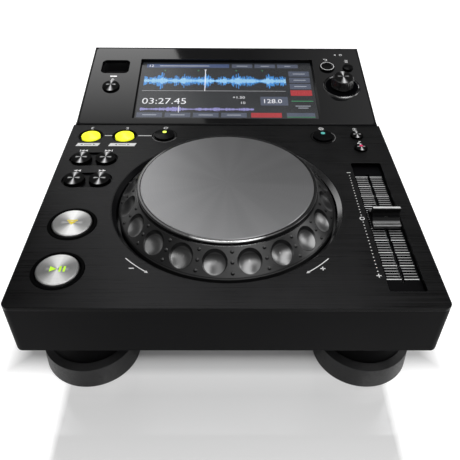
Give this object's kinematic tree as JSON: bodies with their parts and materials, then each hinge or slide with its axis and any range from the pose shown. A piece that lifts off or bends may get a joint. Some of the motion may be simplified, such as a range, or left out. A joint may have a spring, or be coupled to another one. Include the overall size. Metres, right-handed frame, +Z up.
{
  "type": "dj media player",
  "caption": "Tabletop media player for DJs with a dimpled jog wheel, pitch fader, lit transport keys and a tilted display with a rotary selector, on round feet.",
  "frame": {"origin": "floor level under the middle of the part's box", "axes": "+X to the right, +Y to the back, +Z up, as the player stands in front of its user"},
  "size_m": [0.2314, 0.298, 0.0974],
  "materials": {
    "case_black": "satin moulded black",
    "deck_brushed": "brushed, black anodised",
    "panel_gloss": "polished black",
    "screen": "polished cover glass over a lit display",
    "lcd": "display module can",
    "foot_rubber": "satin black rubber",
    "steel": "zinc plated",
    "nickel": "nickel plated",
    "jog_metal": "spun, satin",
    "jog_black": "satin black",
    "control_gloss": "polished black",
    "key_black": "spun black",
    "key_yellow": "lit yellow",
    "key_metal": "spun silver",
    "fader_black": "satin black",
    "board": "green solder mask",
    "bronze": "sintered bush",
    "socket_black": "moulded black"
  },
  "bodies": {
    "chassis": {"main_case": "case_black", "display_housing": "case_black", "deck_panel": "deck_brushed", "display_panel": "panel_gloss", "screen_glass": "screen", "lcd_module": "lcd", "front_left_foot": "foot_rubber", "front_right_foot": "foot_rubber", "rear_left_foot": "foot_rubber", "rear_right_foot": "foot_rubber", "bottom_plate": "steel", "foot_screws": "steel", "base_screws": "steel", "fader_body": "steel", "selector_encoder": "steel", "usb_socket": "nickel", "rca_jacks": "nickel", "lan_socket": "nickel", "usb_b_socket": "nickel", "jog_surround": "control_gloss", "transport_rings": "control_gloss", "loop_cups": "control_gloss", "search_cups": "control_gloss", "selector_ring": "control_gloss", "fader_plate": "control_gloss", "foot_posts": "fader_black", "usb_well": "fader_black", "main_board": "board", "left_key_board": "board", "right_key_board": "board", "display_board": "board", "jog_bearing": "bronze", "dc_inlet": "socket_black", "jog_sensor": "socket_black", "key_switches": "socket_black"},
    "jog": {"jog_wheel": "jog_black", "jog_plate": "jog_metal", "jog_shaft": "nickel", "jog_encoder_disc": "nickel"},
    "fader": {"fader_cap": "fader_black", "fader_stem": "nickel"},
    "selector_push": {"selector_plunger": "fader_black"},
    "selector": {"selector_shaft": "nickel", "selector_knob": "key_black"},
    "cue_button": {"cue_button": "key_metal"},
    "play_button": {"play_button": "key_metal"},
    "loop_in_button": {"loop_in_button": "key_yellow"},
    "loop_out_button": {"loop_out_button": "key_yellow"},
    "reloop_button": {"reloop_button": "key_black"},
    "track_back_button": {"track_back_button": "key_black"},
    "track_next_button": {"track_next_button": "key_black"},
    "search_back_button": {"search_back_button": "key_black"},
    "search_forward_button": {"search_forward_button": "key_black"},
    "vinyl_mode_button": {"vinyl_mode_button": "key_black"},
    "tempo_range_button": {"tempo_range_button": "key_black"},
    "master_tempo_button": {"master_tempo_button": "key_black"},
    "back_button": {"back_button": "key_black"},
    "tag_track_button": {"tag_track_button": "key_black"},
    "usb_stop_button": {"usb_stop_button": "key_black"},
    "power_button": {"power_button": "key_black"}
  },
  "joints": [
    {"name": "jog_spin", "type": "hinge", "parent": "chassis", "child": "jog", "pos_m": [0, -0.05897, 0.078], "axis": [0, 0, 1], "continuous": true},
    {"name": "fader_slide", "type": "slide", "parent": "chassis", "child": "fader", "axis": [0, 1, 0], "range_m": [-0.048, 0.048]},
    {"name": "selector_press", "type": "slide", "parent": "chassis", "child": "selector_push", "axis": [0, 0.1788, -0.9839], "range_m": [0, 0.0006], "stiffness_N_per_m": 2000, "springref_m": -0.0006},
    {"name": "selector_turn", "type": "hinge", "parent": "selector_push", "child": "selector", "pos_m": [0.09365, 0.08195, 0.08698], "axis": [0, -0.1788, 0.9839], "continuous": true},
    {"name": "cue_press", "type": "slide", "parent": "chassis", "child": "cue_button", "axis": [0, 0, -1], "range_m": [0, 0.0008], "stiffness_N_per_m": 1500, "springref_m": -0.0008},
    {"name": "play_press", "type": "slide", "parent": "chassis", "child": "play_button", "axis": [0, 0, -1], "range_m": [0, 0.0008], "stiffness_N_per_m": 1500, "springref_m": -0.0008},
    {"name": "loop_in_press", "type": "slide", "parent": "chassis", "child": "loop_in_button", "axis": [0, 0, -1], "range_m": [0, 0.0006], "stiffness_N_per_m": 1500, "springref_m": -0.0006},
    {"name": "loop_out_press", "type": "slide", "parent": "chassis", "child": "loop_out_button", "axis": [0, 0, -1], "range_m": [0, 0.0006], "stiffness_N_per_m": 1500, "springref_m": -0.0006},
    {"name": "reloop_press", "type": "slide", "parent": "chassis", "child": "reloop_button", "axis": [0, 0, -1], "range_m": [0, 0.0006], "stiffness_N_per_m": 1500, "springref_m": -0.0006},
    {"name": "track_back_press", "type": "slide", "parent": "chassis", "child": "track_back_button", "axis": [0, 0, -1], "range_m": [0, 0.0006], "stiffness_N_per_m": 1500, "springref_m": -0.0006},
    {"name": "track_next_press", "type": "slide", "parent": "chassis", "child": "track_next_button", "axis": [0, 0, -1], "range_m": [0, 0.0006], "stiffness_N_per_m": 1500, "springref_m": -0.0006},
    {"name": "search_back_press", "type": "slide", "parent": "chassis", "child": "search_back_button", "axis": [0, 0, -1], "range_m": [0, 0.0006], "stiffness_N_per_m": 1500, "springref_m": -0.0006},
    {"name": "search_forward_press", "type": "slide", "parent": "chassis", "child": "search_forward_button", "axis": [0, 0, -1], "range_m": [0, 0.0006], "stiffness_N_per_m": 1500, "springref_m": -0.0006},
    {"name": "vinyl_mode_press", "type": "slide", "parent": "chassis", "child": "vinyl_mode_button", "axis": [0, 0, -1], "range_m": [0, 0.0006], "stiffness_N_per_m": 1500, "springref_m": -0.0006},
    {"name": "tempo_range_press", "type": "slide", "parent": "chassis", "child": "tempo_range_button", "axis": [0, 0, -1], "range_m": [0, 0.0006], "stiffness_N_per_m": 1500, "springref_m": -0.0006},
    {"name": "master_tempo_press", "type": "slide", "parent": "chassis", "child": "master_tempo_button", "axis": [0, 0, -1], "range_m": [0, 0.0006], "stiffness_N_per_m": 1500, "springref_m": -0.0006},
    {"name": "back_press", "type": "slide", "parent": "chassis", "child": "back_button", "axis": [0, 0.1788, -0.9839], "range_m": [0, 0.0006], "stiffness_N_per_m": 1500, "springref_m": -0.0006},
    {"name": "tag_track_press", "type": "slide", "parent": "chassis", "child": "tag_track_button", "axis": [0, 0.1788, -0.9839], "range_m": [0, 0.0006], "stiffness_N_per_m": 1500, "springref_m": -0.0006},
    {"name": "usb_stop_press", "type": "slide", "parent": "chassis", "child": "usb_stop_button", "axis": [0, 0.1788, -0.9839], "range_m": [0, 0.0006], "stiffness_N_per_m": 1500, "springref_m": -0.0006},
    {"name": "power_press", "type": "slide", "parent": "chassis", "child": "power_button", "axis": [0, -1, 0], "range_m": [0, 0.0012], "stiffness_N_per_m": 1000, "springref_m": -0.0012}
  ]
}
